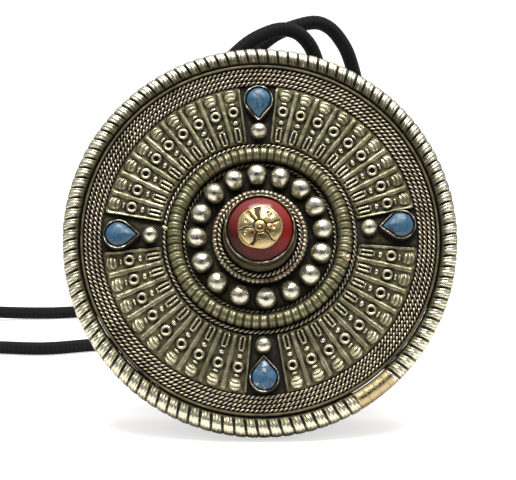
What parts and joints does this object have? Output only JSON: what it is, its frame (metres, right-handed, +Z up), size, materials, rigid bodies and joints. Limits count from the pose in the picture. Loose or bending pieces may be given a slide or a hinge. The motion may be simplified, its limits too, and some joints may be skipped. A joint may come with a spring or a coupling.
{
  "type": "prayer wheel pendant",
  "caption": "Disc-shaped pendant prayer wheel: a reeded, stone-set face and scroll drum that spin on an axle in front of a fixed guard plate with a bail and neck cord.",
  "frame": {"origin": "centre of the footprint of the leaning pendant, without its cord, on the surface it stands on", "axes": "+Z up, +X to the viewer's right across the wheel's face, +Y away from the viewer; the face looks towards -Y and leans back"},
  "size_m": [0.1481, 0.1384, 0.0782],
  "materials": {
    "aged_silver": "hand-made silver, worn bright on the crests and dark with tarnish in the recesses",
    "dark_silver": "heavily tarnished silver sheet",
    "drum_silver": "tarnished, hammered silver sheet",
    "back_silver": "silver sheet, scratched and polished by wear",
    "turquoise": "polished blue stone with dark veins",
    "coral": "glossy brownish red",
    "gold": "worn gold",
    "brass": "dull brass",
    "paper": "old rolled paper",
    "thread": "wound thread",
    "cord": "matt black braided cord"
  },
  "bodies": {
    "hanger": {"axle": "brass", "washer_front": "brass", "washer_rear": "brass", "guard_plate": "back_silver", "guard_edge_wire": "back_silver", "bail_loop": "back_silver", "bail_rivets": "back_silver", "boss_cup": "aged_silver", "boss_reeded_ring": "aged_silver", "boss_rope": "aged_silver", "coral_bezel": "aged_silver", "coral_stone": "coral", "gold_rosette": "gold", "cord_front": "cord", "cord_rear": "cord", "cord_coil": "cord", "cord_knot": "cord"},
    "wheel": {"rim_ring": "aged_silver", "edge_strip": "aged_silver", "face_sheet": "dark_silver", "rope_wire_1": "aged_silver", "rope_wire_2": "aged_silver", "rope_wire_3": "aged_silver", "rope_wire_4": "aged_silver", "panel_ne": "aged_silver", "panel_nw": "aged_silver", "panel_sw": "aged_silver", "panel_se": "aged_silver", "mid_rope_outer": "aged_silver", "mid_reeded_ring": "aged_silver", "mid_rope_inner": "dark_silver", "granule_ring": "aged_silver", "bezel_right": "aged_silver", "bezel_top": "aged_silver", "bezel_left": "aged_silver", "bezel_bottom": "aged_silver", "turquoise_right": "turquoise", "turquoise_top": "turquoise", "turquoise_left": "turquoise", "turquoise_bottom": "turquoise", "tip_granules": "aged_silver", "drum_wall": "drum_silver", "drum_back": "drum_silver", "drum_wires": "drum_silver", "core_tube": "brass", "bush_front": "brass", "bush_rear": "brass", "mantra_scroll": "paper", "scroll_tie": "thread"}
  },
  "joints": [
    {"name": "wheel_spin", "type": "hinge", "parent": "hanger", "child": "wheel", "pos_m": [0, -0.00841, 0.03663], "axis": [0, -0.9391, 0.3438], "continuous": true}
  ]
}
